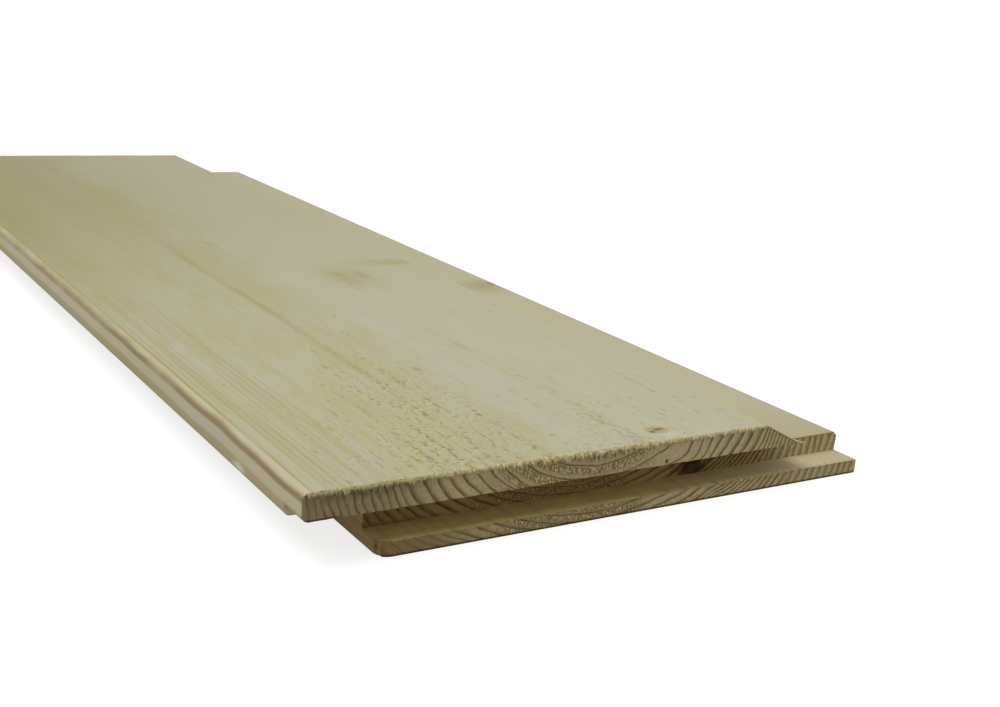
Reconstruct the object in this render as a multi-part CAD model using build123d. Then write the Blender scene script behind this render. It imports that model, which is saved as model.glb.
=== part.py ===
from build123d import *
import os

# Lapped softwood cladding board, lying on its back with its face up.
# X runs across the board from its lip to its flange, Y along it from its grooved end, Z up out of its face.
# The origin is under the middle of the board, on its back. Millimetres.

# Whole board
board_length = 400.0
board_width = 145.0
board_thickness = 16.0

# Flange on the right, which lies under the lip of the next board
flange_width = 16.0
flange_thickness = 8.0
flange_edge_chamfer = 1.0

# Sloped shoulder from the face down to the flange
shoulder_run = 16.2

# Rebate on the left, under the lip, which takes the flange of the next board
rebate_side_clearance = 0.6
rebate_height_clearance = 0.4

# Groove across the near end, which takes the tongue of a board laid end to end
groove_depth = 7.9
groove_height = 6.9
back_lip_thickness = 3.3
back_lip_setback = 0.6

# Eased edges
face_edge_radius = 1.8
lip_edge_radius = 1.6
back_edge_radius = 0.5
worn_corner_radius = 3.0
worn_lip_radius = 1.5

# Cuts reach this far past the faces that they leave through
overcut = 1.0

# Places worked out from the sizes above
left = -board_width / 2
right = board_width / 2
near_end = -board_length / 2
far_end = board_length / 2
shoulder_foot = right - flange_width
shoulder_top = shoulder_foot - shoulder_run
rebate_wall = left + flange_width + rebate_side_clearance
lip_underside = flange_thickness + rebate_height_clearance
groove_floor = back_lip_thickness
groove_roof = groove_floor + groove_height
groove_back = near_end + groove_depth
back_lip_front = near_end + back_lip_setback


def corner(sketch, x, z):
    """The sketch's corner nearest to a point of the section."""
    return sketch.vertices().sort_by_distance((x, z))[0]


def section():
    """The board's section, seen from the near end, with its eased edges."""
    outline = Polyline(
        (left, lip_underside),
        (left, board_thickness),
        (shoulder_top, board_thickness),
        (shoulder_foot, flange_thickness),
        (right, flange_thickness),
        (right, 0),
        (rebate_wall, 0),
        (rebate_wall, lip_underside),
        close=True,
    )
    shape = make_face(outline)
    shape = fillet(corner(shape, left, board_thickness), face_edge_radius)
    shape = fillet(corner(shape, left, lip_underside), lip_edge_radius)
    shape = fillet(corner(shape, right, 0), back_edge_radius)
    shape = fillet(corner(shape, rebate_wall, 0), back_edge_radius)
    return chamfer(corner(shape, right, flange_thickness), flange_edge_chamfer)


def end_groove():
    """What the end cutter takes away: the groove, and the back lip's front, which stays behind the face."""
    outline = Polyline(
        (near_end - overcut, groove_roof),
        (groove_back, groove_roof),
        (groove_back, groove_floor),
        (back_lip_front, groove_floor),
        (back_lip_front, -overcut),
        (near_end - overcut, -overcut),
        close=True,
    )
    return extrude(Plane.YZ * make_face(outline), board_width / 2 + overcut, both=True)


def worn_corner(board):
    """The upright edge of the back lip beside the rebate, which wear has rounded."""
    upright = board.edges().filter_by(Axis.Z)
    return upright.sort_by_distance((rebate_wall, back_lip_front, groove_floor / 2))[0]


def worn_lip(board):
    """The short edge under the end of the left lip, over the groove, which wear has rounded too."""
    lengthwise = board.edges().filter_by(Axis.Y)
    return lengthwise.sort_by_distance((left, near_end + groove_depth / 2, groove_roof))[0]


far_face = Plane(origin=(0, far_end, 0), x_dir=(1, 0, 0), z_dir=(0, -1, 0))
cladding_board = extrude(far_face * section(), board_length)
cladding_board -= end_groove()
cladding_board = fillet(worn_corner(cladding_board), worn_corner_radius)
cladding_board = fillet(worn_lip(cladding_board), worn_lip_radius)

os.makedirs("parts", exist_ok=True)
export_step(cladding_board, "parts/cladding_board.step")
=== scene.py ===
import math

import bmesh
import bpy
import numpy as np
from mathutils import Matrix, Vector, noise
from mathutils.geometry import delaunay_2d_cdt


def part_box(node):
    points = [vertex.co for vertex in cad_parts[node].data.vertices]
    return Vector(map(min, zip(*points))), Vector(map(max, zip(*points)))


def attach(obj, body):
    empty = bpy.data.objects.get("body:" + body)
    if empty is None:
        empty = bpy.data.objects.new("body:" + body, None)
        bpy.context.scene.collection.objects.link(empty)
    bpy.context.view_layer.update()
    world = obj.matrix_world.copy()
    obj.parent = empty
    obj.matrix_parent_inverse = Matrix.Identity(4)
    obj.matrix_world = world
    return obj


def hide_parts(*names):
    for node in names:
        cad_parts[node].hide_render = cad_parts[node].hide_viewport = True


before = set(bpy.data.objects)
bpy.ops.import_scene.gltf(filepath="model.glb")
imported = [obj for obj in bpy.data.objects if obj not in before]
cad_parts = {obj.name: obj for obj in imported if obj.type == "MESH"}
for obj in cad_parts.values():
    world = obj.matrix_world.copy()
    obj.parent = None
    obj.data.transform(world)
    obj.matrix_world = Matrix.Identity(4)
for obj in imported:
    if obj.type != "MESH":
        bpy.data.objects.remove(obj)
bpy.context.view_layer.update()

# A lapped softwood cladding board. Metres, in the frame of the solid: X across from lip to flange,
# Y along from the grooved end, Z up out of the face.
mm = 0.001
NODE = "cladding_board"
(left, near_end, back), (right, far_end, face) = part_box(NODE)
length = far_end - near_end

# Section and end groove, as in the solid
flange_width = 16.0 * mm
flange_top = 8.0 * mm
flange_chamfer = 1.0 * mm
shoulder_run = 16.2 * mm
rebate_side_clearance = 0.6 * mm
rebate_height_clearance = 0.4 * mm
groove_depth = 7.9 * mm
groove_floor = 3.3 * mm
groove_roof = groove_floor + 6.9 * mm
back_lip_setback = 0.6 * mm
face_edge_radius = 1.8 * mm
lip_edge_radius = 1.6 * mm
back_edge_radius = 0.5 * mm
worn_corner_radius = 3.0 * mm
worn_lip_radius = 1.5 * mm
worn_arris_radius = 0.7 * mm

shoulder_foot = right - flange_width
shoulder_top = shoulder_foot - shoulder_run
shoulder_slope = (face - flange_top) / shoulder_run
shoulder_at_roof = shoulder_top + shoulder_run * (face - groove_roof) / (face - flange_top)
rebate_wall = left + flange_width + rebate_side_clearance
lip_underside = flange_top + rebate_height_clearance
groove_back = near_end + groove_depth
back_lip_front = near_end + back_lip_setback
past_corner = rebate_wall + worn_corner_radius + 1 * mm

# Places for marks on the wood, in millimetres and along from the grooved end
left_x = left / mm
wall_x = rebate_wall / mm
shoulder_x = shoulder_top / mm
shoulder_tip_x = shoulder_at_roof / mm
face_level = face / mm
roof_level = groove_roof / mm
flange_level = flange_top / mm
floor_level = groove_floor / mm
recess_along = groove_depth / mm

# Growth rings: flattened circles about a pith above the face, which stand more upright and closer together
# towards the edges of the board
pith_x = -5.4
pith_z = 22.5
ring_flattening = 0.58
ring_level = 13.0
upright_from = 30.0
upright_to = 62.0
upright_squash = 0.5
ring_count_at = [(0, 0), (7.3, 2), (16, 5), (27.7, 12), (33.5, 18), (60, 40)]
outer_radius = 33.5
outer_left_extra = 0.33
shoulder_radii = (28.0, 35.5)
shoulder_extra = 0.5

# Knots on the face: x, along, half width, half length, depth of colour
face_knots = [
    (9.0, 152.0, 3.8, 10.0, 0.36),
    (9.6, 157.0, 1.1, 5.0, 0.40),
    (16.3, 155.5, 1.7, 6.0, 0.55),
    (13.0, 156.0, 8.0, 13.0, 0.26),
    (25.0, 173.0, 5.5, 5.0, 0.26),
    (35.0, 170.0, 8.0, 3.8, 0.42),
    (-13.5, 208.0, 1.6, 3.6, 0.40),
    (-61.0, 186.0, 5.5, 11.0, 0.26),
    (-25.0, 265.0, 6.0, 34.0, 0.14),
    (5.5, 77.0, 1.3, 4.5, 0.36),
    (-15.3, 62.0, 0.7, 1.3, 0.80),
    (-53.0, 29.5, 0.9, 1.5, 0.45),
    (-43.0, 16.0, 0.9, 1.2, 0.45),
]
# The branch's other end on the flange
flange_knots = [(65.0, 163.0, 6.0, 7.0, 0.58), (68.0, 164.5, 3.0, 4.0, 0.5)]
# Small sound knot close to the grooved end: x, along, half width, half length
pin_knot = (13.4, 5.9, 2.9, 2.2)
# Knot inside the grooved end, which the rings bend around: x, z, half width, half height
end_knot = (19.0, 11.0, 6.5, 4.0)
# Hollow that the knot left in the back of the groove: x, z
hollow = (26.8, 4.9)
# Resin streak along the face: its line, and where it fades out at each end
streak_x = -28.4
streak_near = 48.0
streak_far = 232.0
# Torn patches of the face: how torn, x, along, half width, half length
torn_patches = [
    (1.0, -30, 12, 24, 30),
    (0.8, -26, 44, 15, 30),
    (0.45, -22, 82, 12, 34),
    (0.65, 4, 16, 5, 36),
    (0.45, 5, 78, 4, 18),
    (0.5, 32, 34, 3, 16),
    (0.2, 16, 18, 9, 24),
    (0.25, -58, 40, 4, 60),
]
# Smooth band beside the pith: x, along, half width, half length
smooth_band = (-5.5, 70, 5.5, 90)

PLANED, SAWN, END, ROUTED = range(4)
random = np.random.default_rng(7)


# Places on the wood
def board_mm(points):
    """Points in millimetres, measured along from the grooved end."""
    return (points - [0.0, near_end, 0.0]) / mm


def perlin(places, sizes, seed=0.0):
    """Smooth noise from -1 to 1, with features about as large as sizes."""
    return np.array([noise.noise(p) for p in places / np.array(sizes) + seed])


def bell(places, x, along, half_width, half_length):
    """A smooth hill over the face, 1 at its middle."""
    dx = (places[:, 0] - x) / half_width
    dy = (places[:, 1] - along) / half_length
    return np.exp(-dx * dx - dy * dy)


def ring_shift(places):
    """How far drift and knots push the growth rings aside."""
    shift = 0.5 * perlin(places, (34, 150, 34), 2.3) + 0.28 * perlin(places, (6, 70, 6), 8.1)
    shift += 0.12 * perlin(places, (2.4, 60, 2.4), 6.6)
    for x, along, half_width, half_length, depth in face_knots:
        away = (places[:, 0] - x) / (3 * half_width)
        side = 1.0 if x > pith_x else -1.0
        shift -= 1.4 * depth * side * away * bell(places, x, along, 3 * half_width, 4 * half_length)
    x, z, half_width, half_height = end_knot
    away = (places[:, 0] - x) / half_width
    hump = np.exp(-away ** 2 - ((places[:, 2] - z) / half_height) ** 2 - (places[:, 1] / 30) ** 2)
    return shift - 1.5 * hump


def lateness(places, shift):
    """How late in its year the wood at each place grew, from 0 to 1."""
    across = places[:, 0] - pith_x
    step = np.clip((np.abs(across) - upright_from) / (upright_to - upright_from), 0, 1)
    squash = 1 + (upright_squash - 1) * step * step * (3 - 2 * step)
    level = ring_level + (places[:, 2] - ring_level) * squash
    radius = np.hypot(across * ring_flattening, level - pith_z) + shift
    radii, counts = zip(*ring_count_at)
    years = np.interp(radius, radii, counts)
    years += outer_left_extra * np.maximum(radius - outer_radius, 0) * (across < 0)
    first, last = shoulder_radii
    years += shoulder_extra * np.clip(radius - first, 0, last - first) * (across > 0)
    return np.clip((years % 1 - 0.42) / 0.54, 0, 1) ** 1.5


def torn_amount(places):
    """How torn the sawn face is: most to the left near the grooved end, least along the smooth band."""
    amount = 0.04
    for strength, *patch in torn_patches:
        amount = amount + strength * bell(places, *patch)
    patches = 0.5 + 0.5 * perlin(places, (7, 22, 7), 3.1)
    smooth = 1 - 0.95 * bell(places, *smooth_band)
    return np.clip(amount * (0.4 + 1.0 * patches) * smooth, 0, 1)


# Board mesh
def run(start, end, step):
    """Points from start up to, but not including, end, about a step apart."""
    start = np.array(start, float)
    end = np.array(end, float)
    count = max(1, round(float(np.linalg.norm(end - start)) / step))
    return start + (end - start) * (np.arange(count) / count)[:, None]


def bend(centre, radius, first, last, count=6):
    """Points of an arc from its first angle up to, but not including, its last, in degrees."""
    angles = np.radians(first + (last - first) * np.arange(count) / count)
    return np.array(centre) + radius * np.stack([np.cos(angles), np.sin(angles)], axis=1)


def section():
    """The section's outline as points (x, z), the surface kind after each, and where stretches start."""
    rl, rf, rb = lip_edge_radius, face_edge_radius, back_edge_radius
    fine = 0.7 * mm
    medium = 1.4 * mm
    coarse = 5.0 * mm
    flange_side = right - flange_chamfer
    stretches = [
        ("lip_edge", PLANED, bend((left + rl, lip_underside + rl), rl, 270, 180)),
        ("side_low", PLANED, run((left, lip_underside + rl), (left, groove_roof), fine)),
        ("side_high", PLANED, run((left, groove_roof), (left, face - rf), 0.4 * mm)),
        ("face_edge", PLANED, bend((left + rf, face - rf), rf, 180, 90)),
        ("face", SAWN, run((left + rf, face), (shoulder_top, face), fine)),
        ("shoulder_high", PLANED, run((shoulder_top, face), (shoulder_at_roof, groove_roof), medium)),
        ("shoulder_low", PLANED, run((shoulder_at_roof, groove_roof), (shoulder_foot, flange_top), medium)),
        ("flange", PLANED, run((shoulder_foot, flange_top), (flange_side, flange_top), fine)),
        ("chamfer", PLANED, run((flange_side, flange_top), (right, flange_top - flange_chamfer), fine)),
        ("edge_high", PLANED, run((right, flange_top - flange_chamfer), (right, groove_floor), medium)),
        ("edge_low", PLANED, run((right, groove_floor), (right, back + rb), medium)),
        ("edge_foot", PLANED, bend((right - rb, back + rb), rb, 0, -90, 3)),
        ("back", PLANED, run((right - rb, back), (past_corner, back), coarse)),
        ("back_wall", PLANED, run((past_corner, back), (rebate_wall + rb, back), fine)),
        ("wall_foot", PLANED, bend((rebate_wall + rb, back + rb), rb, 270, 180, 3)),
        ("wall_low", PLANED, run((rebate_wall, back + rb), (rebate_wall, groove_floor), medium)),
        ("wall_high", PLANED, run((rebate_wall, groove_floor), (rebate_wall, lip_underside), medium)),
        ("underside", PLANED, run((rebate_wall, lip_underside), (left + rl, lip_underside), coarse)),
    ]
    starts = {}
    count = 0
    for name, kind, points in stretches:
        starts[name] = count
        count += len(points)
    kinds = np.concatenate([np.full(len(points), kind) for name, kind, points in stretches])
    return np.concatenate([points for name, kind, points in stretches]), kinds, starts


def spread(low, high, step):
    """Values from low to high, both included, about a step apart."""
    return np.linspace(low, high, max(2, round((high - low) / step) + 1))


def two_spreads(low, middle, high, first_step, second_step):
    """Values from low over a middle value to high, with a step of their own on either side of it."""
    return np.unique(np.concatenate([spread(low, middle, first_step), spread(middle, high, second_step)]))


def stations():
    """Places along the board where its section is drawn, closer together near the grooved end."""
    parts = [
        [0.0, 0.2 * mm, 0.4 * mm],
        spread(back_lip_setback, groove_depth, 0.5 * mm),
        spread(groove_depth, 60 * mm, 0.75 * mm),
        spread(60 * mm, 200 * mm, 1.25 * mm),
        spread(200 * mm, length, 2.0 * mm),
    ]
    return near_end + np.unique(np.round(np.concatenate(parts), 9))


def filled(loop, step):
    """Triangles that fill a flat loop, with points inside it about a step apart."""
    low, high = loop.min(axis=0), loop.max(axis=0)
    xs = np.arange(low[0] + step / 2, high[0], step)
    zs = np.arange(low[1] + step / 2, high[1], step)
    inner = np.stack(np.meshgrid(xs, zs), axis=-1).reshape(-1, 2)
    gap = np.full(len(inner), np.inf)
    for start, end in zip(loop, np.roll(loop, -1, axis=0)):
        side = end - start
        along = np.clip((inner - start) @ side / (side @ side), 0, 1)
        gap = np.minimum(gap, np.linalg.norm(inner - start - along[:, None] * side, axis=1))
    points = np.concatenate([loop, inner[gap > 0.4 * step]])
    made = delaunay_2d_cdt([Vector(p) for p in points], [], [list(range(len(loop)))], 1, 1e-9)
    return np.array([v[:] for v in made[0]]), [list(f) for f in made[2]]


class Patches:
    """Collects patches of the board's surface, and merges the points that they share."""

    def __init__(self):
        self.points = []
        self.faces = []
        self.kinds = []
        self.count = 0

    def add(self, points, faces, kind):
        self.points.append(np.asarray(points, float).reshape(-1, 3))
        self.faces += [[i + self.count for i in f] for f in faces]
        self.kinds += [kind] * len(faces)
        self.count += len(self.points[-1])

    def add_grid(self, points, kind):
        rows, columns = points.shape[:2]
        cells = [
            [r * columns + c, r * columns + c + 1, (r + 1) * columns + c + 1, (r + 1) * columns + c]
            for r in range(rows - 1)
            for c in range(columns - 1)
        ]
        self.add(points, cells, kind)

    def merged(self):
        points, place = np.unique(np.round(np.concatenate(self.points), 7), axis=0, return_inverse=True)
        place = place.ravel()
        used = np.unique(np.concatenate([place[f] for f in self.faces]))
        shorter = np.full(len(points), -1)
        shorter[used] = np.arange(len(used))
        return points[used], [shorter[place[f]].tolist() for f in self.faces], np.array(self.kinds)


def grid(xs, ys, zs):
    """Points of a grid from the x and z of its rows and the y of its columns."""
    shape = (len(xs), len(ys))
    across = np.broadcast_to(xs[:, None], shape)
    upwards = np.broadcast_to(zs[:, None], shape)
    return np.stack([across, np.broadcast_to(ys, shape), upwards], axis=-1)


def board_patches():
    """Every face of the board: the long faces, the two ends, and the groove with its lips."""
    outline, kinds, starts = section()
    along = stations()
    surface = Patches()

    for i, kind in enumerate(kinds):
        pair = outline[[i, (i + 1) % len(outline)]]
        middle = pair[:, 1].mean()
        start = back_lip_front
        if middle > groove_roof:
            start = near_end
        elif middle > groove_floor:
            start = groove_back
        surface.add_grid(grid(pair[:, 0], along[along > start - 1e-8], pair[:, 1]), kind)

    roof_xs = two_spreads(left, left + 2 * mm, shoulder_at_roof, 0.4 * mm, 1.0 * mm)
    floor_xs = two_spreads(rebate_wall, past_corner, right, 0.5 * mm, 0.6 * mm)
    for xs, level, start in ((roof_xs, groove_roof, near_end), (floor_xs, groove_floor, back_lip_front)):
        ys = along[(along > start - 1e-8) & (along < groove_back + 1e-8)]
        surface.add_grid(grid(xs, ys, np.full(len(xs), level)), ROUTED)

    roof_line = np.stack([roof_xs, np.full(len(roof_xs), groove_roof)], axis=1)
    floor_line = np.stack([floor_xs, np.full(len(floor_xs), groove_floor)], axis=1)
    top_chain = outline[starts["side_high"]:starts["shoulder_low"]]
    right_chain = outline[starts["shoulder_low"]:starts["edge_low"]]
    low_chain = outline[starts["edge_low"]:starts["wall_high"]]
    left_chain = np.concatenate([outline[starts["wall_high"]:], outline[:starts["side_high"]]])
    caps = [
        (near_end, 0.42 * mm, [top_chain, roof_line[:0:-1]]),
        (groove_back, 0.5 * mm, [roof_line[:-1], right_chain, floor_line[:0:-1], left_chain]),
        (back_lip_front, 0.42 * mm, [floor_line[:-1], low_chain]),
        (far_end, 1.0 * mm, [outline]),
    ]
    for y, step, chains in caps:
        flat, triangles = filled(np.concatenate(chains), step)
        surface.add(np.stack([flat[:, 0], np.full(len(flat), y), flat[:, 1]], axis=1), triangles, END)
    return surface.merged()


def round_edge(points, axes, corner, radius, worn):
    """Pulls the worn points near a square edge onto an arc. The edge runs across the plane of two axes."""
    flat = points[:, axes]
    centre = np.array(corner) + radius
    away = (centre - flat) / radius
    inside = worn & (away > 0).all(axis=1) & (away < 1.001).all(axis=1)
    pull = away[inside].max(axis=1) / np.linalg.norm(away[inside], axis=1)
    flat[inside] = centre - away[inside] * radius * pull[:, None]
    points[:, axes] = flat


def wear(points):
    """Rounds the edges at the left of the near end, which wear has rounded."""
    nearer = points[:, 1] < groove_back - 1e-6
    over_roof = points[:, 2] > groove_roof - 1e-6
    under_floor = points[:, 2] < groove_floor + 1e-6
    round_edge(points, [0, 2], (left, groove_roof), worn_lip_radius, nearer & over_roof)
    round_edge(points, [0, 1], (left, near_end), worn_arris_radius, over_roof)
    round_edge(points, [0, 1], (rebate_wall, back_lip_front), worn_corner_radius, under_floor)


def relief(places, kinds, torn, late):
    """Height of the surface's own roughness at each place."""
    fibre = perlin(places, (1.6, 24, 3), 5.3)
    wave = perlin(places, (14, 34, 14), 9.7)
    pits = np.maximum(perlin(places, (2.0, 6, 2.0), 1.9) - 0.1, 0)
    sawn = 0.035 * fibre + 0.09 * wave - 0.25 * torn * pits + 0.015 * late
    x, along, z = places.T
    ridges = np.interp(x, [5, 40], [0.07, 0.13])
    ends = ridges * (late - 0.4) + 0.06 * perlin(places, (1.1, 1.1, 1.3), 4.4)
    hollow_x, hollow_z = hollow
    in_recess = np.abs(along - recess_along) < 0.5
    ends -= 1.4 * in_recess * np.exp(-((x - hollow_x) / 2.6) ** 2 - ((z - hollow_z) / 1.0) ** 2)
    planed = -0.02 * (1 + fibre)
    return np.select([kinds == SAWN, kinds == END], [sawn, ends], planed)


def new_piece(name, points, faces):
    mesh = bpy.data.meshes.new(name)
    mesh.from_pydata(points.tolist(), [], faces)
    piece = bpy.data.objects.new(name, mesh)
    bpy.context.collection.objects.link(piece)
    return piece


def board_piece():
    """The board with its surface relief, standing for the solid."""
    points, faces, kinds = board_patches()
    wear(points)
    piece = new_piece("cladding_board_wood", points, faces)
    mesh = piece.data
    shape = bmesh.new()
    shape.from_mesh(mesh)
    bmesh.ops.recalc_face_normals(shape, faces=shape.faces)
    shape.to_mesh(mesh)
    shape.free()
    mesh.polygons.foreach_set("material_index", kinds.astype(np.int32))

    corner_kind = np.repeat(kinds, [len(f) for f in faces])
    corner_point = np.concatenate(faces)
    point_kind = np.full(len(points), PLANED)
    for kind in (ROUTED, END, SAWN):
        point_kind[corner_point[corner_kind == kind]] = kind

    places = board_mm(points)
    torn = torn_amount(places)
    shift = ring_shift(places)
    height = mm * relief(places, point_kind, torn, lateness(places, shift))
    height[points[:, 2] < back + 1e-6] = 0
    normals = np.empty(len(points) * 3, dtype=np.float32)
    mesh.vertex_normals.foreach_get("vector", normals)
    moved = points + normals.reshape(-1, 3) * height[:, None]
    mesh.vertices.foreach_set("co", moved.astype(np.float32).ravel())
    for name, values in (("torn", torn), ("ring_shift", shift)):
        layer = mesh.attributes.new(name, "FLOAT", "POINT")
        layer.data.foreach_set("value", values.astype(np.float32))
    mesh.update()
    return piece


# Loose fibres
def slivers(name, root, control, tip, width, side, lift):
    """Tapered fibres, each bent from its root over a control point to its tip, in places on the wood."""
    count = len(root)
    steps = np.array([0.0, 0.35, 0.7])
    t = steps[None, :, None]
    path = (1 - t) ** 2 * root[:, None] + 2 * t * (1 - t) * control[:, None] + t ** 2 * tip[:, None]
    taper = (1 - 0.75 * steps ** 1.5)[None, :, None] * width[:, None, None]
    across = np.array(side) * taper * 0.5
    over = np.array(lift) * taper * 0.45
    rings = np.stack([path - across, path + over, path + across], axis=2)
    places = np.concatenate([rings.reshape(count, 9, 3), tip[:, None]], axis=1).reshape(-1, 3)
    cell = [[0, 2, 1]]
    for s in (0, 3):
        cell += [[s + k, s + (k + 1) % 3, s + 3 + (k + 1) % 3, s + 3 + k] for k in range(3)]
    cell += [[6 + k, 6 + (k + 1) % 3, 9] for k in range(3)]
    faces = [[i + 10 * n for i in f] for n in range(count) for f in cell]
    return new_piece(name, places * mm + [0.0, near_end, 0.0], faces)


def fringe(name, x, along, level, reach, width):
    """Burr of fibres along edges of the near end. Each leaves its edge, then hangs over it by its reach."""
    count = len(x)
    out = 0.1 + 0.35 * reach * random.uniform(0.3, 1.0, count)
    lean = random.normal(0, 0.18, count)
    root = np.stack([x, along + 0.3, level - 0.05], axis=1)
    control = np.stack([x + 0.3 * lean, along - out, level + 0.04], axis=1)
    tip = np.stack([x + lean, along - 0.8 * out, level - reach * random.uniform(0.5, 1.1, count)], axis=1)
    return slivers(name, root, control, tip, width, (1.0, 0.0, 0.0), (0.0, -0.8, 0.6))


def end_fringe():
    """Burr that the end cutter left along the face, longest in the middle."""
    count = 3000
    x = random.uniform(left_x + 1.0, shoulder_x + 0.5, count)
    clump = np.array([noise.noise((v / 1.7, 0.0, 0.0)) for v in x])
    strength = 0.8 + 0.55 * np.exp(-((x + 8) / 20) ** 2)
    reach = np.clip(strength * (0.8 + 0.9 * clump) + random.normal(0, 0.25, count), 0.2, 1.9)
    level = face_level - random.uniform(0.0, 0.35, count)
    return fringe("end_fringe_fibres", x, np.zeros(count), level, reach, random.uniform(0.2, 0.62, count))


def edge_fringe():
    """Shorter burr on the ends of the shoulder, the flange and the back lip."""
    slope_x = random.uniform(shoulder_top, shoulder_at_roof, 240) / mm
    flange_x = random.uniform(shoulder_foot, right - flange_chamfer, 240) / mm
    lip_x = random.uniform(rebate_wall + worn_corner_radius, right - 0.5 * mm, 800) / mm
    slope_level = face_level - (slope_x - shoulder_x) * shoulder_slope
    x = np.concatenate([slope_x, flange_x, lip_x])
    counts = [len(slope_x), len(flange_x), len(lip_x)]
    along = np.repeat([0.0, recess_along, back_lip_setback / mm], counts)
    level = np.concatenate([slope_level, np.repeat([flange_level, floor_level], counts[1:])])
    reach = random.uniform(0.08, 0.4, len(x))
    return fringe("edge_fibres", x, along, level, reach, random.uniform(0.12, 0.36, len(x)))


def feather():
    """Feathered tip that hangs where the shoulder runs out over the groove."""
    count = 9
    x = shoulder_tip_x + random.uniform(-1.6, -0.1, count)
    z = roof_level + (shoulder_tip_x - x) * shoulder_slope
    root = np.stack([x - 0.6, random.uniform(0.2, 1.5, count), z + 0.1], axis=1)
    sideways = random.uniform(1.0, 2.6, count)
    forwards = random.uniform(-1.2, -0.4, count)
    tip = root + np.stack([sideways, forwards, -0.2 - 0.4 * (z - roof_level)], axis=1)
    control = (root + tip) / 2 + [0.0, 0.0, 0.35]
    width = random.uniform(0.3, 0.6, count)
    return slivers("shoulder_feather", root, control, tip, width, (0.3, 1.0, 0.0), (0.4, 0.0, 0.9))


def face_splinters():
    """Splinters that the saw lifted along the late wood of the face, hinged at their far ends."""
    tries = 24000
    x = random.uniform(left_x + 3, shoulder_x - 1, tries)
    along = 3 + 150 * random.uniform(0, 1, tries) ** 1.6
    places = np.stack([x, along, np.full(tries, face_level)], axis=1)
    chance = 0.42 * torn_amount(places) ** 1.2 * (0.12 + lateness(places, ring_shift(places)))
    kept = random.uniform(0, 1, tries) < chance
    x, along = x[kept], along[kept]
    count = len(x)
    reach = random.gamma(3.0, 0.7, count) + 0.8
    rise = random.uniform(0.04, 0.22, count)
    level = np.full(count, face_level)
    root = np.stack([x, along, level - 0.12], axis=1)
    control = np.stack([x, along - 0.55 * reach, level + 0.03], axis=1)
    aside = random.normal(0, 0.07, count) * reach
    tip = np.stack([x + aside, np.maximum(along - reach, -0.2), level + rise], axis=1)
    width = random.uniform(0.12, 0.32, count)
    return slivers("face_splinters", root, control, tip, width, (1.0, 0.0, 0.0), (0.0, 0.0, 1.0))


# Material nodes
class Nodes:
    """Short calls that build one node tree."""

    def __init__(self, tree):
        self.tree = tree

    def add(self, kind, inputs=None, **settings):
        made = self.tree.nodes.new(kind)
        for name, value in settings.items():
            setattr(made, name, value)
        for key, value in (inputs or {}).items():
            if isinstance(value, bpy.types.NodeSocket):
                self.tree.links.new(value, made.inputs[key])
            else:
                made.inputs[key].default_value = value
        return made

    def math(self, operation, *values):
        return self.add("ShaderNodeMath", dict(enumerate(values)), operation=operation).outputs[0]

    def times(self, *values):
        product = values[0]
        for value in values[1:]:
            product = self.math("MULTIPLY", product, value)
        return product

    def vector(self, operation, first, second):
        return self.add("ShaderNodeVectorMath", {0: first, 1: second}, operation=operation).outputs[0]

    def split(self, vector):
        return self.add("ShaderNodeSeparateXYZ", {0: vector}).outputs

    def noise(self, place, sizes, detail=2.0, roughness=0.5):
        """Noise from 0 to 1 with features about as large as sizes."""
        scaled = self.vector("DIVIDE", place, sizes)
        inputs = {"Vector": scaled, "Scale": 1.0, "Detail": detail, "Roughness": roughness}
        return self.add("ShaderNodeTexNoise", inputs).outputs[0]

    def remap(self, value, low, high, to_low=0.0, to_high=1.0):
        inputs = {0: value, 1: low, 2: high, 3: to_low, 4: to_high}
        return self.add("ShaderNodeMapRange", inputs, interpolation_type="SMOOTHSTEP").outputs[0]

    def around(self, value, middle, half_width):
        """1 at a middle value, falling to 0 at the half width on either side."""
        away = self.math("ABSOLUTE", self.math("SUBTRACT", value, middle))
        return self.remap(away, half_width, 0.0)

    def mix(self, factor, first, second, blend="MIX"):
        inputs = {0: factor, 6: first, 7: second}
        return self.add("ShaderNodeMix", inputs, data_type="RGBA", blend_type=blend).outputs[2]

    def tint(self, base, paint, *amounts):
        """A base colour taken towards a paint by the product of amounts."""
        return self.mix(self.times(*amounts), base, colour(*paint))

    def attribute(self, name):
        return self.add("ShaderNodeAttribute", attribute_name=name).outputs["Fac"]

    def bump(self, height, strength, distance):
        inputs = {"Strength": strength, "Distance": distance, "Height": height}
        return self.add("ShaderNodeBump", inputs).outputs[0]


def colour(red, green, blue):
    return (red, green, blue, 1.0)


def place_node(nodes):
    """The place on the wood, in millimetres along from the grooved end."""
    point = nodes.add("ShaderNodeTexCoord").outputs["Object"]
    from_end = nodes.vector("SUBTRACT", point, (0.0, near_end, 0.0))
    return nodes.vector("DIVIDE", from_end, (mm, mm, mm))


def new_group(name, inputs, outputs):
    tree = bpy.data.node_groups.new(name, "ShaderNodeTree")
    for label in inputs:
        tree.interface.new_socket(label, in_out="INPUT", socket_type="NodeSocketVector")
    for label in outputs:
        tree.interface.new_socket(label, in_out="OUTPUT", socket_type="NodeSocketFloat")
    nodes = Nodes(tree)
    return tree, nodes, nodes.add("NodeGroupInput").outputs


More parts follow.
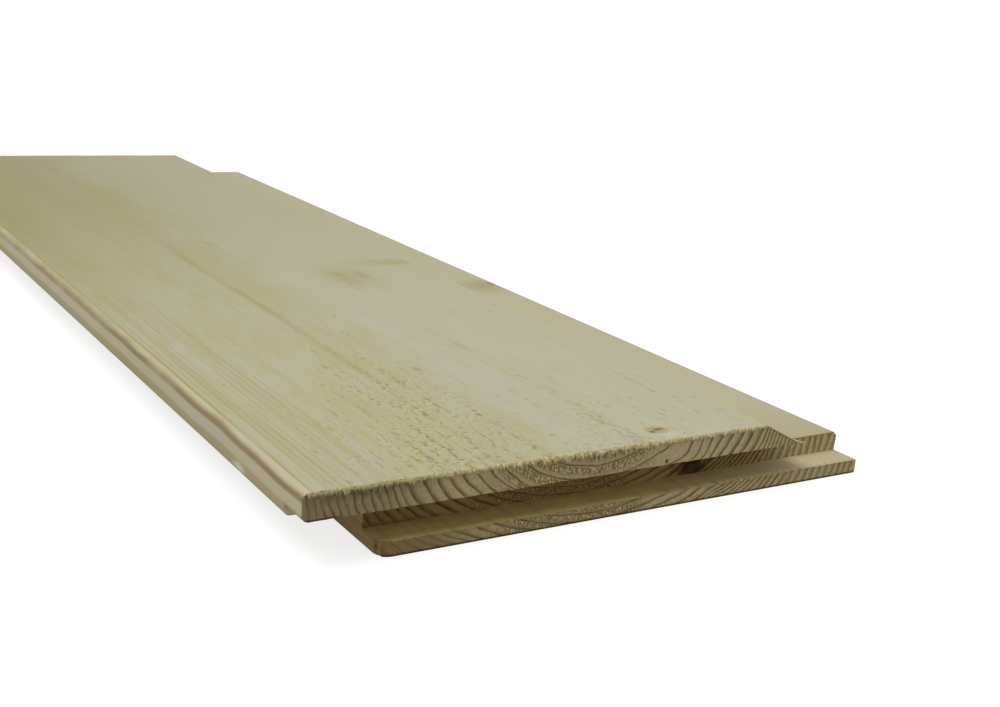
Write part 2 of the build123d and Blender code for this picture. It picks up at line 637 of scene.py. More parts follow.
def rings_group():
    """Growth rings: how dark the late wood at a place is, and how far into its year the wood grew."""
    tree, nodes, given = new_group("growth_rings", ["Place"], ["Late", "Phase"])
    x, along, z = nodes.split(given[0])
    aside = nodes.math("SUBTRACT", x, pith_x)
    across = nodes.math("MULTIPLY", aside, ring_flattening)
    squash = nodes.remap(nodes.math("ABSOLUTE", aside), upright_from, upright_to, 1.0, upright_squash)
    level = nodes.math("MULTIPLY_ADD", nodes.math("SUBTRACT", z, ring_level), squash, ring_level)
    down = nodes.math("SUBTRACT", level, pith_z)
    squares = nodes.math("ADD", nodes.math("MULTIPLY", across, across), nodes.math("MULTIPLY", down, down))
    radius = nodes.math("ADD", nodes.math("SQRT", squares), nodes.attribute("ring_shift"))

    widest, most = ring_count_at[-1]
    curve = nodes.add("ShaderNodeFloatCurve", {"Value": nodes.math("DIVIDE", radius, widest)})
    line = curve.mapping.curves[0]
    for ring_radius, count in ring_count_at[1:-1]:
        line.points.new(ring_radius / widest, count / most)
    for point in line.points:
        point.handle_type = "VECTOR"
    curve.mapping.update()
    outer = nodes.math("MAXIMUM", nodes.math("SUBTRACT", radius, outer_radius), 0.0)
    extra = nodes.times(outer, nodes.math("LESS_THAN", x, pith_x), outer_left_extra)
    first, last = shoulder_radii
    most_extra = shoulder_extra * (last - first)
    closer = nodes.add("ShaderNodeMapRange", {0: radius, 1: first, 2: last, 3: 0.0, 4: most_extra})
    on_right = nodes.math("GREATER_THAN", x, pith_x)
    extra = nodes.math("MULTIPLY_ADD", closer.outputs[0], on_right, extra)
    years = nodes.math("MULTIPLY_ADD", curve.outputs[0], most, extra)
    phase = nodes.math("FRACT", years)
    start = nodes.remap(radius, 15.0, 24.0, 0.82, 0.42)
    rise = nodes.math("POWER", nodes.remap(phase, start, 0.96), nodes.remap(radius, 15.0, 24.0, 0.8, 1.5))
    late = nodes.math("MULTIPLY", rise, nodes.remap(phase, 1.0, 0.965))
    nodes.add("NodeGroupOutput", {"Late": late, "Phase": phase})
    return tree


def spot_group():
    """A soft-edged spot about a centre, 1 at its middle and 0 outside, with a wavering rim."""
    tree, nodes, given = new_group("soft_spot", ["Place", "Centre", "Half size"], ["Spot"])
    away = nodes.vector("DIVIDE", nodes.vector("SUBTRACT", given[0], given[1]), given[2])
    distance = nodes.add("ShaderNodeVectorMath", {0: away}, operation="LENGTH").outputs["Value"]
    waver = nodes.math("SUBTRACT", nodes.noise(given[0], (1.6, 4.0, 1.6), 3.0, 0.6), 0.5)
    wavering = nodes.math("MULTIPLY_ADD", waver, 1.1, distance)
    nodes.add("NodeGroupOutput", {"Spot": nodes.remap(wavering, 1.25, 0.15)})
    return tree


growth_rings = rings_group()
soft_spot = spot_group()


# Half height of a spot that shows at any depth
any_height = 30.0


def rings_at(nodes, place):
    return nodes.add("ShaderNodeGroup", {"Place": place}, node_tree=growth_rings).outputs


def spot(nodes, place, centre, half_size):
    inputs = {"Place": place, "Centre": centre, "Half size": half_size}
    return nodes.add("ShaderNodeGroup", inputs, node_tree=soft_spot).outputs[0]


def new_material(name):
    material = bpy.data.materials.new(name)
    material.use_nodes = True
    material.node_tree.nodes.clear()
    return material, Nodes(material.node_tree)


def wood_shader(nodes, base, normal, roughness):
    shader = nodes.add("ShaderNodeBsdfPrincipled", {
        "Base Color": base, "Normal": normal, "Roughness": roughness, "Specular IOR Level": 0.2})
    nodes.add("ShaderNodeOutputMaterial", {"Surface": shader.outputs[0]})


def knot_marks(nodes, place, base, knots, level, paint):
    """A base colour with brown knots painted on it."""
    for x, along, half_width, half_length, depth in knots:
        mark = spot(nodes, place, (x, along, level), (1.5 * half_width, 1.5 * half_length, any_height))
        base = nodes.tint(base, paint, mark, depth)
    return base


def resin_streak(nodes, place):
    """How strongly the resin streak shows at a place on the face."""
    x, along, z = nodes.split(place)
    wander = nodes.math("SUBTRACT", nodes.noise(place, (30, 26, 30), 2.0), 0.5)
    line = nodes.around(nodes.math("MULTIPLY_ADD", wander, 1.8, x), streak_x, 2.2)
    begins = nodes.remap(along, streak_near - 15, streak_near + 25)
    ends = nodes.remap(along, streak_far, streak_far - 55)
    patchy = nodes.remap(nodes.noise(place, (40, 20, 40), 2.0), 0.3, 0.65, 0.45, 1.0)
    return nodes.times(line, begins, ends, patchy)


def tears(nodes, place, likely):
    """How deep the face is torn at a place: some tears run with the grain, more run slantwise over it."""
    grain = nodes.noise(place, (0.45, 2.8, 0.45), 2.0, 0.55)
    slant = (0.0, 0.0, math.radians(-38))
    turned = nodes.add("ShaderNodeMapping", {"Vector": place, "Rotation": slant}).outputs[0]
    slantwise = nodes.noise(turned, (0.5, 1.7, 5.0), 2.0, 0.55)
    deepest = nodes.math("MAXIMUM", nodes.math("SUBTRACT", grain, 0.035), slantwise)
    return nodes.math("MULTIPLY_ADD", likely, 0.24, deepest)


def torn_dashes(nodes, place, late, torn):
    """Torn grain: the dark bottoms of the tears, partly their own olive colour and partly painted shade,
    the yellowed wood about them, and painted highlights on their lips.
    """
    clusters = nodes.remap(nodes.noise(place, (3.0, 13, 3.0), 2.0), 0.36, 0.62, 0.72, 1.04)
    likely = nodes.times(torn, clusters, nodes.remap(late, 0.0, 0.5, 0.6, 1.0))
    tear = tears(nodes, place, likely)
    # Painted highlight: the lips of the tears, a little nearer the grooved end.
    lip = tears(nodes, nodes.vector("ADD", place, (-0.25, 0.75, 0.0)), likely)
    return nodes.remap(tear, 0.775, 0.85), nodes.remap(tear, 0.67, 0.80), nodes.remap(lip, 0.71, 0.82)


def sawn_wood(nodes, place):
    """Colour of the plain sawn face: grey and even on the right, blotched olive on the left, with painted
    shade towards the far end and the far left.
    """
    x, along, z = nodes.split(place)
    cloud = nodes.noise(place, (11, 42, 11), 4.0, 0.6)
    leftward = nodes.math("MULTIPLY_ADD", nodes.math("SUBTRACT", cloud, 0.5), 44.0, x)
    on_left = nodes.remap(leftward, 3.0, -27.0)
    cloudy = nodes.remap(cloud, 0.35, 0.65)
    right_wood = nodes.mix(cloudy, colour(0.505, 0.487, 0.345), colour(0.485, 0.467, 0.32))
    left_wood = nodes.mix(cloudy, colour(0.462, 0.435, 0.25), colour(0.48, 0.458, 0.32))
    base = nodes.mix(on_left, right_wood, left_wood)
    base = nodes.tint(base, (0.495, 0.487, 0.37), nodes.around(leftward, -5.0, 10.0), 0.7)
    yellowed = nodes.noise(place, (5, 26, 5), 4.0, 0.65)
    base = nodes.tint(base, (0.42, 0.38, 0.165), nodes.remap(yellowed, 0.5, 0.72), on_left, 0.5)
    pinkish = nodes.noise(place, (2.8, 15, 2.8), 4.0, 0.65)
    mottled = nodes.times(nodes.remap(pinkish, 0.46, 0.64), nodes.remap(along, 170.0, 70.0, 0.2, 0.55))
    base = nodes.tint(base, (0.49, 0.458, 0.345), mottled)
    streaky = nodes.noise(place, (1.6, 75, 1.6), 3.0, 0.6)
    base = nodes.tint(base, (0.40, 0.36, 0.175), nodes.remap(streaky, 0.5, 0.8), on_left, 0.3)
    # Painted shade: darker and yellower towards the far end and the left, where less light falls, and
    # darker still at the far left.
    painted_falloff = nodes.times(nodes.remap(along, 60.0, 330.0), nodes.remap(leftward, 30.0, -60.0, 0.25, 1.0))
    base = nodes.tint(base, (0.355, 0.323, 0.17), painted_falloff)
    darkened = nodes.times(painted_falloff, nodes.remap(x, -50.0, -66.0), 0.4)
    return nodes.tint(base, (0.27, 0.23, 0.11), darkened)


def left_of_face(nodes, place, late, base):
    """A base colour with the bands and rings along the left of the face, and its yellowed edge."""
    x, along, z = nodes.split(place)
    banded = nodes.remap(nodes.noise(place, (2.6, 130, 2.6), 2.0), 0.42, 0.62)
    base = nodes.tint(base, (0.39, 0.345, 0.155), banded, nodes.remap(x, -46.0, -58.0), 0.38)
    patchy = nodes.remap(nodes.noise(place, (1.9, 90, 1.9), 2.0), 0.36, 0.66)
    nearness = nodes.remap(along, 190.0, 50.0, 0.15, 1.0)
    ringed = nodes.times(late, nodes.remap(x, -44.0, -62.0, 0.04, 0.6), patchy, nearness)
    base = nodes.tint(base, (0.335, 0.285, 0.115), ringed)
    wander = nodes.noise(place, (20, 30, 20), 2.0)
    arris = nodes.around(nodes.math("MULTIPLY_ADD", wander, 1.0, x), left_x + 2.5, 0.6)
    uneven = nodes.remap(nodes.noise(place, (9, 24, 9), 3.0), 0.35, 0.65, 0.3, 0.85)
    return nodes.tint(base, (0.33, 0.30, 0.09), arris, uneven)


def sawn_material():
    """Rough-sawn face: pale and furry, with torn grain, knots and a resin streak."""
    material, nodes = new_material("sawn_softwood")
    place = place_node(nodes)
    late, phase = rings_at(nodes, place)
    torn = nodes.attribute("torn")
    x, along, z = nodes.split(place)
    base = left_of_face(nodes, place, late, sawn_wood(nodes, place))
    pale = nodes.noise(place, (1.0, 24, 1.0), 3.0, 0.6)
    pallor = nodes.times(nodes.remap(pale, 0.52, 0.78), nodes.remap(along, 80.0, 220.0, 0.35, 0.06))
    base = nodes.tint(base, (0.545, 0.52, 0.395), pallor)
    fibre = nodes.noise(place, (0.26, 10, 0.26), 3.0, 0.65)
    base = nodes.tint(base, (0.34, 0.31, 0.17), nodes.remap(fibre, 0.35, 0.75, 0.0, 0.12))
    base = nodes.tint(base, (0.35, 0.28, 0.09), resin_streak(nodes, place), 0.55)
    redder = spot(nodes, place, (streak_x, 182.0, face_level), (2.2, 10.0, any_height))
    base = nodes.tint(base, (0.42, 0.29, 0.13), redder, 0.3)

    core, halo, lip = torn_dashes(nodes, place, late, torn)
    lifted = nodes.times(nodes.remap(torn, 0.1, 0.9), nodes.remap(pale, 0.35, 0.6), 0.18)
    base = nodes.tint(base, (0.45, 0.41, 0.205), lifted)
    streaks = nodes.remap(nodes.noise(place, (1.1, 28, 1.1), 3.0, 0.6), 0.54, 0.70)
    base = nodes.tint(base, (0.435, 0.385, 0.15), streaks, nodes.remap(torn, 0.06, 0.4), 0.5)
    # Painted highlight on the lips of the tears.
    base = nodes.tint(base, (0.59, 0.555, 0.43), lip, 0.7)
    base = nodes.tint(base, (0.44, 0.395, 0.13), halo, 0.75)
    # Dark bottoms of the tears: partly the torn wood's own olive colour, partly painted shade.
    base = nodes.tint(base, (0.22, 0.175, 0.04), core, 0.8)
    base = knot_marks(nodes, place, base, face_knots, face_level, (0.36, 0.312, 0.112))
    base = pin_knot_marks(nodes, place, base)

    height = nodes.math("MULTIPLY_ADD", fibre, 0.45, nodes.times(core, -0.9))
    rough = nodes.noise(place, (0.45, 2.6, 0.45), 2.0, 0.6)
    height = nodes.math("MULTIPLY_ADD", rough, nodes.math("MULTIPLY_ADD", torn, 1.2, 0.15), height)
    wood_shader(nodes, base, nodes.bump(height, 0.7, 0.16 * mm), 0.82)
    return material


def pin_knot_marks(nodes, place, base):
    """A base colour with the small knot by the grooved end: a golden rim, dark cores and pale fuzz."""
    x, along, half_width, half_length = pin_knot
    fuzz = spot(nodes, place, (x + 0.6, along - 3.2, face_level), (half_width, 1.8, any_height))
    base = nodes.tint(base, (0.60, 0.57, 0.44), fuzz, 0.6)
    rim = spot(nodes, place, (x, along, face_level), (1.3 * half_width, 1.2 * half_length, any_height))
    base = nodes.tint(base, (0.37, 0.285, 0.105), nodes.remap(rim, 0.1, 0.8, 0.0, 0.7))
    for aside, beyond in ((-1.5, -0.7), (0.2, 0.1), (1.2, 0.3)):
        dark = spot(nodes, place, (x + aside, along + beyond, face_level), (0.9, 0.65, any_height))
        base = nodes.tint(base, (0.12, 0.065, 0.014), dark, 0.85)
    return base


def left_side(nodes, place, base):
    """A base colour with the bands and the chip on the left side, and painted shade on the side's lower
    part, on the rebate wall, brown with grain streaks, and in a slot by the wall's foot.
    """
    x, along, z = nodes.split(place)
    side = nodes.remap(x, left_x + 2.2, left_x + 1.2)
    base = nodes.tint(base, (0.555, 0.502, 0.328), side, 0.75)
    wander = nodes.math("SUBTRACT", nodes.noise(place, (30, 34, 30), 2.0), 0.5)
    ragged = nodes.math("SUBTRACT", nodes.noise(place, (6, 9, 6), 3.0, 0.6), 0.5)
    level = nodes.math("MULTIPLY_ADD", wander, 1.5, nodes.math("MULTIPLY_ADD", ragged, 0.35, z))
    patchy = nodes.remap(nodes.noise(place, (20, 30, 20), 3.0), 0.35, 0.6, 0.6, 1.0)
    strip = nodes.remap(nodes.noise(place, (3, 9, 3), 3.0, 0.6), 0.35, 0.65, 0.3, 0.7)
    strip = nodes.times(strip, nodes.remap(along, 30.0, 140.0, 0.3, 1.3))
    base = nodes.tint(base, (0.375, 0.33, 0.165), side, nodes.remap(z, 15.3, 15.6), strip)
    off_band = nodes.math("ABSOLUTE", nodes.math("SUBTRACT", level, 14.9))
    band = nodes.times(side, nodes.remap(off_band, 1.05, 0.2), patchy)
    base = nodes.tint(base, (0.265, 0.194, 0.095), band)
    # Painted shade: the lower part of the side darker, where it rounds under towards the lip's underside.
    base = nodes.tint(base, (0.37, 0.305, 0.147), side, nodes.remap(level, 12.2, 11.0), 0.8)
    chip = spot(nodes, place, (left_x, 30.0, 10.1), (4.0, 4.0, 1.3))
    base = nodes.tint(base, (0.66, 0.61, 0.47), chip, 0.95)
    # Painted shade: the rebate wall under the face lip, brown with grain streaks, darkest at the near end
    # and fading out along the board.
    by_wall = nodes.times(nodes.around(x, wall_x, 8.0), nodes.remap(z, 8.8, 8.0))
    brown = nodes.mix(nodes.remap(along, 8.0, 4.0), colour(0.445, 0.308, 0.106), colour(0.37, 0.254, 0.09))
    streaks = nodes.noise(place, (6, 40, 0.7), 3.0, 0.6)
    brown = nodes.tint(brown, (0.25, 0.165, 0.055), nodes.remap(streaks, 0.49, 0.58, 0.0, 0.6))
    brown = nodes.tint(brown, (0.54, 0.40, 0.155), nodes.remap(streaks, 0.47, 0.39, 0.0, 0.55))
    brown = nodes.tint(brown, (0.265, 0.184, 0.07), nodes.remap(along, 3.8, 1.8, 0.0, 0.75))
    painted_wall_shade = nodes.times(nodes.remap(by_wall, 0.1, 0.5), nodes.remap(along, 90.0, 20.0))
    base = nodes.mix(painted_wall_shade, base, brown)
    # Painted shade: a near-black slot by the foot of the rebate wall at the near end.
    slot = spot(nodes, place, (wall_x, 2.4, 2.0), (6.0, 0.4, 1.2))
    return nodes.tint(base, (0.10, 0.06, 0.014), slot, 0.9)


def planed_material():
    """Planed sides, shoulder, flange and back: smoother, with rings on the shoulder and painted shade
    towards the far end and the left.
    """
    material, nodes = new_material("planed_softwood")
    place = place_node(nodes)
    x, along, z = nodes.split(place)
    late, phase = rings_at(nodes, place)
    broad = nodes.noise(place, (8, 60, 8), 3.0)
    base = nodes.mix(nodes.remap(broad, 0.3, 0.7), colour(0.495, 0.46, 0.285), colour(0.488, 0.457, 0.31))
    # Painted shade: darker and yellower towards the far end and the left, where less light falls.
    painted_falloff = nodes.times(nodes.remap(along, 60.0, 330.0), nodes.remap(x, 30.0, -60.0, 0.1, 0.8))
    base = nodes.tint(base, (0.37, 0.325, 0.165), painted_falloff)
    on_slope = nodes.times(nodes.remap(z, 8.2, 8.8), nodes.remap(x, 38.0, 41.0))
    ringed = nodes.times(late, nodes.math("MULTIPLY_ADD", on_slope, 0.22, 0.1))
    base = nodes.tint(base, (0.30, 0.215, 0.095), ringed)
    fibre = nodes.noise(place, (0.3, 14, 0.3), 3.0, 0.6)
    base = nodes.tint(base, (0.36, 0.31, 0.17), nodes.remap(fibre, 0.35, 0.75, 0.0, 0.14))
    streaky = nodes.noise(place, (1.2, 50, 1.2), 3.0, 0.6)
    base = nodes.tint(base, (0.42, 0.37, 0.19), nodes.remap(streaky, 0.5, 0.8, 0.0, 0.3))
    by_end = nodes.times(nodes.remap(along, 42.0, 8.0), nodes.remap(x, 52.0, 58.0), 0.45)
    base = nodes.tint(base, (0.40, 0.325, 0.175), by_end)
    base = left_side(nodes, place, base)
    base = knot_marks(nodes, place, base, flange_knots, flange_level, (0.345, 0.295, 0.11))
    redder = spot(nodes, place, (70.3, 165.5, flange_level), (2.0, 3.2, any_height))
    base = nodes.tint(base, (0.32, 0.18, 0.08), redder, 0.5)
    wood_shader(nodes, base, nodes.bump(fibre, 0.35, 0.06 * mm), 0.62)
    return material


def routed_material():
    """Floor and roof of the end groove: brown, with painted light making them paler towards the right, and
    the cutter's marks across the board.
    """
    material, nodes = new_material("routed_softwood")
    place = place_node(nodes)
    x, along, z = nodes.split(place)
    late, phase = rings_at(nodes, place)
    marks = nodes.noise(place, (30, 0.5, 30), 3.0, 0.6)
    base = nodes.mix(nodes.remap(marks, 0.3, 0.7), colour(0.485, 0.36, 0.13), colour(0.53, 0.41, 0.168))
    clouds = nodes.remap(nodes.noise(place, (5, 3, 5), 3.0, 0.6), 0.4, 0.65, 0.0, 0.45)
    base = nodes.tint(base, (0.36, 0.265, 0.09), clouds)
    # Painted light: paler towards the right, where the upper lip no longer shades the groove.
    base = nodes.tint(base, (0.535, 0.47, 0.285), nodes.remap(x, 14.0, 60.0))
    rings = nodes.times(late, nodes.remap(x, 20.0, 60.0, 0.25, 0.1))
    base = nodes.tint(base, (0.27, 0.185, 0.07), rings)
    by_front = nodes.times(late, nodes.remap(along, 2.8, 0.8))
    ticks = nodes.times(by_front, nodes.remap(x, 0.0, 22.0), nodes.remap(x, 30.0, 60.0, 0.7, 0.45))
    base = nodes.tint(base, (0.20, 0.13, 0.052), ticks)
    fibre = nodes.noise(place, (0.5, 3.0, 0.5), 3.0, 0.6)
    base = nodes.tint(base, (0.30, 0.21, 0.07), nodes.remap(fibre, 0.45, 0.8, 0.0, 0.3))
    wood_shader(nodes, base, nodes.bump(fibre, 0.4, 0.08 * mm), 0.75)
    return material


def flecks(nodes, place, phase, base):
    """A base colour with the torn, porous early wood about the pith, and the height of its flecks."""
    x, along, z = nodes.split(place)
    middle = nodes.times(nodes.remap(x, pith_x - 33.0, pith_x - 17.0), nodes.remap(x, 12.0, 3.0))
    scaled = nodes.vector("DIVIDE", place, (0.40, 3.0, 0.72))
    cells = nodes.add("ShaderNodeTexVoronoi", {"Vector": scaled, "Scale": 1.0})
    fleck = nodes.remap(cells.outputs["Distance"], 0.75, 0.3)
    early = nodes.times(nodes.remap(phase, 0.74, 0.5), nodes.remap(phase, 0.0, 0.08))
    porous = nodes.times(middle, early)
    gaps = nodes.math("SUBTRACT", porous, nodes.times(fleck, porous))
    base = nodes.tint(base, (0.37, 0.28, 0.12), middle, 0.45)
    base = nodes.tint(base, (0.63, 0.51, 0.235), fleck, porous, 0.85)
    base = nodes.tint(base, (0.125, 0.08, 0.028), gaps, 0.68)
    return base, nodes.times(fleck, porous)


def end_rings(nodes, place, late, phase, base):
    """A base colour with the rings of a cross-cut end, and how dark their late wood is."""
    x, along, z = nodes.split(place)
    right_width = nodes.remap(x, 5.0, 38.0, 1.0, 0.45)
    width = nodes.math("MINIMUM", right_width, nodes.remap(x, -20.0, -40.0, 1.0, 0.65))
    low = nodes.times(nodes.remap(z, roof_level, roof_level - 0.4), nodes.remap(x, 0.0, 16.0), 0.28)
    broader = nodes.math("POWER", late, nodes.times(width, nodes.math("SUBTRACT", 1.0, low)))
    faintest = nodes.remap(x, -44.0, -62.0, 0.7, 0.4)
    uneven = nodes.remap(nodes.noise(place, (2.5, 50, 6), 2.0), 0.3, 0.7, faintest, 1.0)
    softer = nodes.remap(x, 34.0, 58.0, 1.0, 0.74)
    base = nodes.tint(base, (0.085, 0.055, 0.022), broader, uneven, softer)
    early = nodes.times(nodes.remap(phase, 0.5, 0.1), nodes.remap(x, 8.0, 30.0))
    between = nodes.times(early, nodes.remap(x, 40.0, 56.0, 0.36, 0.22))
    return nodes.tint(base, (0.62, 0.505, 0.25), between), broader


def end_stains(nodes, place, base):
    """A base colour with the ends' grit, the back lip darker towards the rebate wall with painted shade at
    its rounded corner, the ends darker at their left edge, the stain under the face and a small hole
    painted dark with the shade in it.
    """
    x, along, z = nodes.split(place)
    grit = nodes.noise(place, (0.5, 0.5, 0.9), 3.0, 0.7)
    base = nodes.tint(base, (0.19, 0.14, 0.06), nodes.remap(grit, 0.48, 0.68, 0.0, 0.5))
    base = nodes.tint(base, (0.55, 0.455, 0.25), nodes.remap(grit, 0.45, 0.3, 0.0, 0.3))
    # The back lip darker towards the rebate wall.
    on_back_lip = nodes.remap(z, 4.5, 3.4)
    worn = nodes.times(nodes.remap(x, wall_x + 28, wall_x + 6), on_back_lip, 0.88)
    base = nodes.tint(base, (0.228, 0.159, 0.061), worn)
    # Painted shade: the back lip's rounded corner by the rebate wall, as dark as the painted shade on the
    # wall.
    rounded = nodes.times(nodes.remap(x, wall_x + 5.0, wall_x + 2.2), on_back_lip, 0.85)
    base = nodes.tint(base, (0.228, 0.158, 0.06), rounded)
    base = nodes.tint(base, (0.245, 0.18, 0.108), nodes.remap(x, -66.0, -71.5, 0.0, 0.55))
    patches = nodes.remap(nodes.noise(place, (1.1, 2, 1.6), 3.0, 0.6), 0.36, 0.6)
    stain = nodes.times(nodes.remap(z, 12.2, 15.2), patches, nodes.around(x, -60.0, 18.0))
    base = nodes.tint(base, (0.05, 0.05, 0.032), stain, 0.85)
    # Painted shade: a small hole, drawn only as the near-black shade inside it.
    hole = spot(nodes, place, (12.4, 0.0, 11.0), (0.6, 5.0, 0.6))
    return nodes.tint(base, (0.03, 0.02, 0.01), hole)


def end_shade(nodes, place, base):
    """A base colour with the hollow in the groove's back, painted near black for the knot's dark wood and
    the shade in it; painted shade on the back of the groove; painted light on the groove's left corner; and
    painted shadow lines under the face lip's end and along the foot of the ends.
    """
    x, along, z = nodes.split(place)
    hollow_x, hollow_z = hollow
    # The hollow is painted near black: partly the knot's own dark wood, partly painted shade inside the
    # hollow.
    inside = spot(nodes, place, (hollow_x, recess_along, hollow_z), (6.0, 4.0, 4.2))
    base = nodes.tint(base, (0.04, 0.019, 0.009), inside, 0.95)
    # Painted shade: the back of the groove, under the upper lip, multiplied darker and browner across most
    # of its width.
    in_groove = nodes.around(along, recess_along, 4.0)
    across_recess = nodes.times(nodes.remap(x, 62.0, 40.0), nodes.remap(x, -69.0, -62.0))
    painted_recess_shade = nodes.times(in_groove, across_recess)
    base = nodes.mix(painted_recess_shade, base, colour(0.72, 0.60, 0.42), "MULTIPLY")
    # Painted light: the small end face at the groove's left corner, taken far paler than the wood so that
    # it looks as bright as the lit side.
    corner = nodes.times(in_groove, nodes.remap(x, -64.0, -69.0), 0.8)
    base = nodes.tint(base, (0.85, 0.75, 0.48), corner)
    # Painted shade: a near-black line along the lower edge of the face lip's end, where its underside is in
    # shadow.
    on_front = nodes.times(nodes.remap(z, 8.0, 9.0), nodes.remap(along, 2.0, 1.0))
    on_lip = nodes.times(on_front, nodes.remap(x, -63.5, -66.5))
    under = nodes.times(nodes.remap(z, 10.8, 10.4), on_lip)
    base = nodes.tint(base, (0.03, 0.025, 0.015), under, 0.85)
    # Painted contact shadow: a near-black line along the bottom of the ends, where they meet the floor.
    foot = nodes.times(nodes.remap(z, 0.65, 0.2), nodes.remap(along, 5.0, 3.0))
    return nodes.tint(base, (0.02, 0.018, 0.013), foot, 0.9)


def end_material():
    """Cross-cut ends: dark rings, porous early wood about the pith, stains at the corner, and painted shade
    and painted light about the groove and the rebate.
    """
    material, nodes = new_material("end_grain_softwood")
    place = place_node(nodes)
    x, along, z = nodes.split(place)
    late, phase = rings_at(nodes, place)
    broad = nodes.noise(place, (7, 7, 5), 3.0)
    base = nodes.mix(nodes.remap(broad, 0.3, 0.7), colour(0.485, 0.388, 0.183), colour(0.52, 0.428, 0.224))
    base = nodes.tint(base, (0.26, 0.20, 0.10), nodes.remap(x, -34.0, -62.0), 0.83)
    base, flecked = flecks(nodes, place, phase, base)
    base, dark = end_rings(nodes, place, late, phase, base)
    base = end_stains(nodes, place, base)
    base = end_shade(nodes, place, base)

    grain = nodes.noise(place, (0.34, 0.6, 0.24), 2.0, 0.7)
    height = nodes.math("MULTIPLY_ADD", flecked, 1.2, nodes.times(grain, 0.4))
    ridges = nodes.times(dark, nodes.remap(x, 5.0, 38.0, 0.4, 1.8))
    height = nodes.math("ADD", height, ridges)
    wood_shader(nodes, base, nodes.bump(height, 0.8, 0.22 * mm), 0.85)
    return material


def fibre_material(name, first, second):
    """Loose fibres: straw-coloured, some of them browned."""
    material, nodes = new_material(name)
    place = place_node(nodes)
    x, along, z = nodes.split(place)
    tint = nodes.noise(place, (0.6, 3.0, 0.8), 2.0)
    base = nodes.mix(nodes.remap(tint, 0.4, 0.65), colour(*first), colour(*second))
    base = nodes.tint(base, (0.42, 0.36, 0.18), nodes.remap(x, -30.0, -50.0, 0.0, 0.5))
    normal = nodes.bump(nodes.noise(place, (0.08, 0.4, 0.3), 2.0), 0.4, 0.04 * mm)
    wood_shader(nodes, base, normal, 0.8)
    return material


# Stage, lights and camera
def light_seen(nodes):
    """1 for rays that show a surface to the camera, straight, mirrored or through glass."""
    path = nodes.add("ShaderNodeLightPath").outputs
    seen = nodes.math("MAXIMUM", path["Is Camera Ray"], path["Is Glossy Ray"])
    return nodes.math("MAXIMUM", seen, path["Is Transmission Ray"])


def floor_material():
    """Pale floor: white to the camera where nothing shades it, plainer to the light that it throws back."""
    material, nodes = new_material("pale_floor")
    point = nodes.add("ShaderNodeTexCoord").outputs["Object"]
    distance = nodes.add("ShaderNodeVectorMath", {0: point}, operation="LENGTH").outputs["Value"]
    plain = nodes.add("ShaderNodeBsdfDiffuse", {"Color": colour(0.42, 0.42, 0.42)})
    white = nodes.add("ShaderNodeBsdfDiffuse", {"Color": colour(0.32, 0.32, 0.32)})
    glow = nodes.add("ShaderNodeEmission", {"Strength": nodes.remap(distance, 0.25, 0.9, 0.79, 1.0)})
    shown = nodes.add("ShaderNodeAddShader", {0: white.outputs[0], 1: glow.outputs[0]})
    seen = light_seen(nodes)
    surface = nodes.add("ShaderNodeMixShader", {0: seen, 1: plain.outputs[0], 2: shown.outputs[0]})
    nodes.add("ShaderNodeOutputMaterial", {"Surface": surface.outputs[0]})
    return material


def build_floor():
    half = 8.0
    corners = np.array([(-half, -half, 0), (half, -half, 0), (half, half, 0), (-half, half, 0)])
    floor = new_piece("floor", corners, [[0, 1, 2, 3]])
    floor.location.z = -0.02 * mm
    floor.data.materials.append(floor_material())


def build_world():
    world = bpy.data.worlds.new("studio")
    bpy.context.scene.world = world
    world.use_nodes = True
    world.node_tree.nodes.clear()
    nodes = Nodes(world.node_tree)
    fill = nodes.add("ShaderNodeBackground", {"Color": colour(1, 1, 1), "Strength": 0.40})
    white = nodes.add("ShaderNodeBackground", {"Color": colour(1, 1, 1), "Strength": 1.0})
    seen = light_seen(nodes)
    mixed = nodes.add("ShaderNodeMixShader", {0: seen, 1: fill.outputs[0], 2: white.outputs[0]})
    nodes.add("ShaderNodeOutputWorld", {"Surface": mixed.outputs[0]})


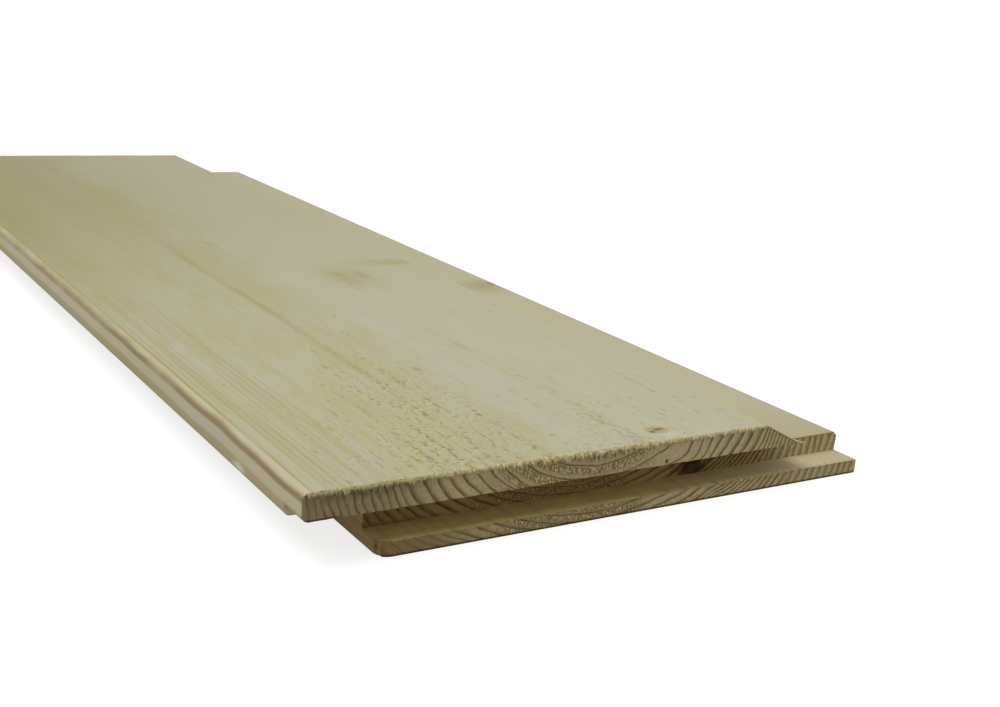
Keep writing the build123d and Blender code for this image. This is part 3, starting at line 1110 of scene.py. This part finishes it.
def build_lamp(name, place, size, power):
    light = bpy.data.lights.new(name, "AREA")
    light.shape = "DISK"
    light.size = size
    light.energy = power
    lamp = bpy.data.objects.new(name, light)
    lamp.location = place
    towards = Vector((0.0, near_end / 2, 0.0)) - Vector(place)
    lamp.rotation_euler = towards.to_track_quat("-Z", "Y").to_euler()
    bpy.context.collection.objects.link(lamp)


def build_camera():
    """The photograph's viewpoint, from the picture's own perspective."""
    picture_width = 1000
    focal_pixels = 1318.7
    eye = Vector((-165.6 * mm, near_end - 201.9 * mm, 107.4 * mm))
    heading, pitch, roll = (math.radians(a) for a in (33.38, 15.82, 4.71))
    data = bpy.data.cameras.new("camera")
    data.sensor_fit = "HORIZONTAL"
    data.sensor_width = 36.0
    data.lens = focal_pixels * data.sensor_width / picture_width
    data.clip_start = 0.01
    camera = bpy.data.objects.new("camera", data)
    turn = Matrix.Rotation(-heading, 4, "Z") @ Matrix.Rotation(math.pi / 2 - pitch, 4, "X")
    camera.matrix_world = Matrix.Translation(eye) @ turn @ Matrix.Rotation(roll, 4, "Z")
    bpy.context.collection.objects.link(camera)
    bpy.context.scene.camera = camera


def dress():
    """The board and its loose fibres, dressed and riding on the part."""
    board = board_piece()
    # In the order of the surface kinds
    for material in (planed_material(), sawn_material(), end_material(), routed_material()):
        board.data.materials.append(material)
    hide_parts(NODE)
    straw = fibre_material("fringe_fibre", (0.65, 0.57, 0.32), (0.44, 0.34, 0.145))
    pale = fibre_material("face_fibre", (0.52, 0.49, 0.35), (0.47, 0.42, 0.23))
    brown = fibre_material("edge_fibre", (0.47, 0.38, 0.18), (0.36, 0.27, 0.11))
    dressed = [(end_fringe(), straw), (edge_fringe(), brown), (feather(), straw), (face_splinters(), pale)]
    for piece, material in dressed:
        piece.data.materials.append(material)
    for piece in [board] + [piece for piece, material in dressed]:
        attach(piece, "root")


dress()
build_floor()
build_world()
build_lamp("key", (-0.6, -0.2, 1.1), 0.8, 9.7)
build_lamp("fill", (0.65, -0.95, 0.5), 0.7, 1.7)
build_camera()
bpy.context.scene.view_settings.view_transform = "Standard"
